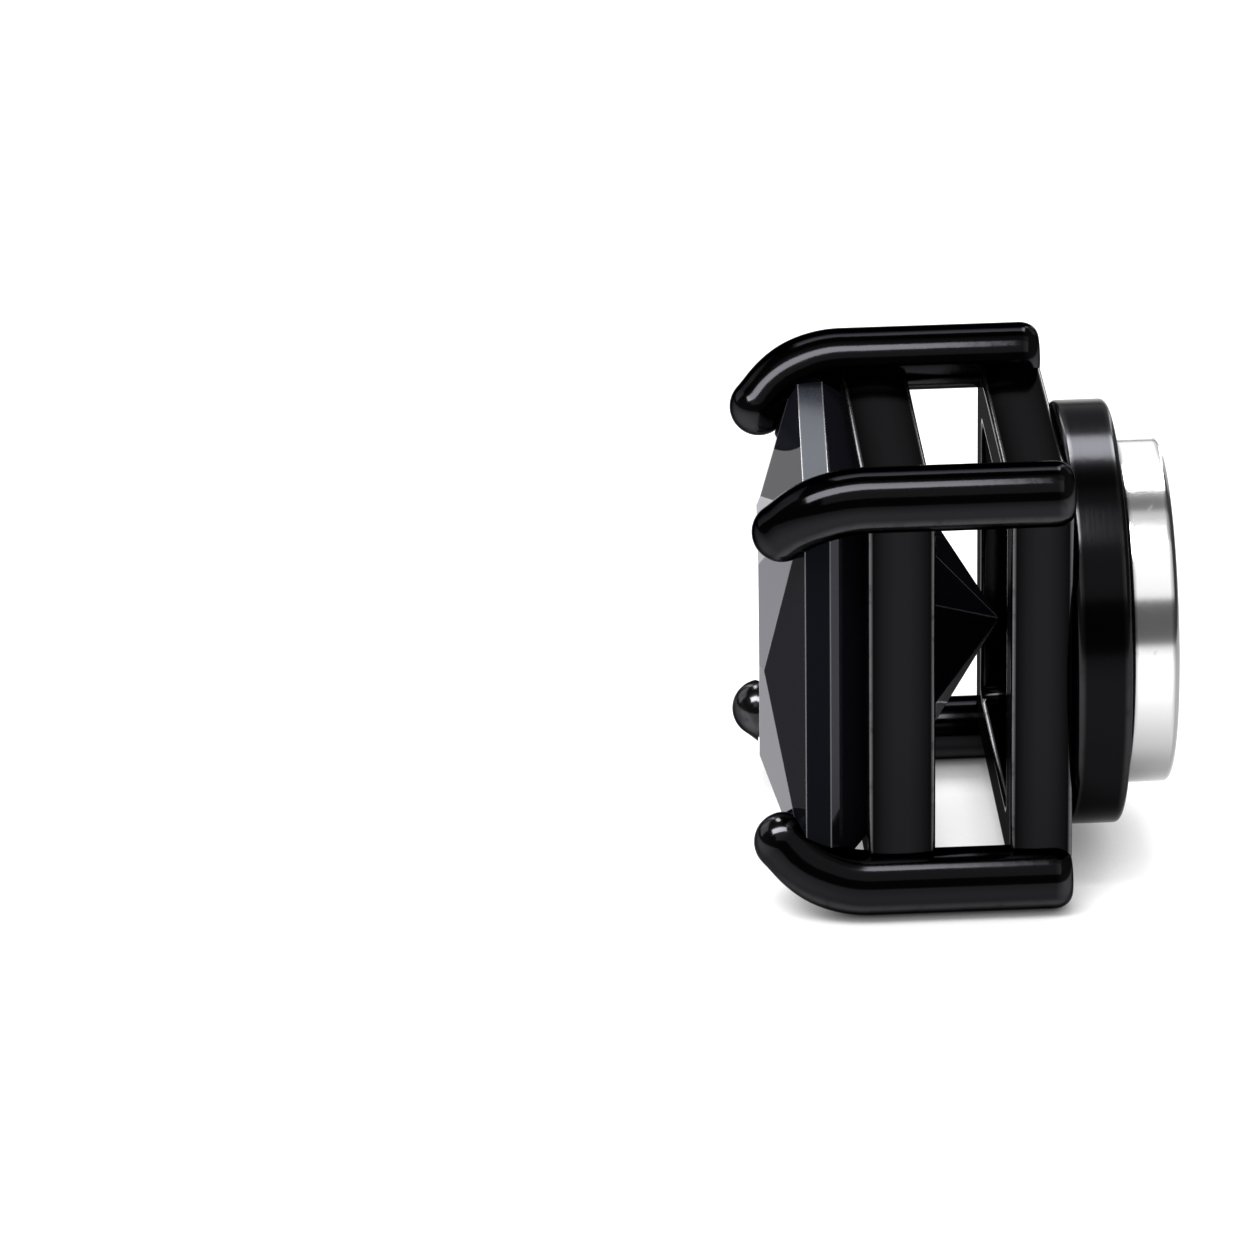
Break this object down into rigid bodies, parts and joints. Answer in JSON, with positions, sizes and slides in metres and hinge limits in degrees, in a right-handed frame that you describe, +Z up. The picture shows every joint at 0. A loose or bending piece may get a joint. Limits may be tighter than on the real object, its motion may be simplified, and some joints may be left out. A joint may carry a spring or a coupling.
{
  "type": "magnetic earring",
  "caption": "Clip-free magnetic stud earring: a rectangular black cut stone in an open prong basket, with a magnet cup and a loose magnet disc that clamps the ear lobe.",
  "frame": {"origin": "under the middle of the box round the whole earring, on the surface that its two lower prongs stand on", "axes": "+Z up as it stands, -Y out of the stone's face, +Y out of the loose magnet's outer face, +X to the right as the stone is looked at"},
  "size_m": [0.0086, 0.0086, 0.0097],
  "materials": {
    "black_stone": "opaque black cut stone, mirror polished facets",
    "black_plate": "glossy black plating on steel wire",
    "black_cup": "glossy black plating, lathe turned",
    "nickel_inner": "nickel plated magnet",
    "nickel": "polished nickel plated magnet"
  },
  "bodies": {
    "setting": {"stone": "black_stone", "basket": "black_plate", "magnet_cup": "black_cup", "front_magnet": "nickel_inner"},
    "back": {"back_magnet": "nickel"}
  },
  "joints": [
    {"name": "magnet_pull", "type": "slide", "parent": "setting", "child": "back", "axis": [0, 1, 0], "range_m": [0, 0.008], "stiffness_N_per_m": 10, "springref_m": -0.02}
  ]
}
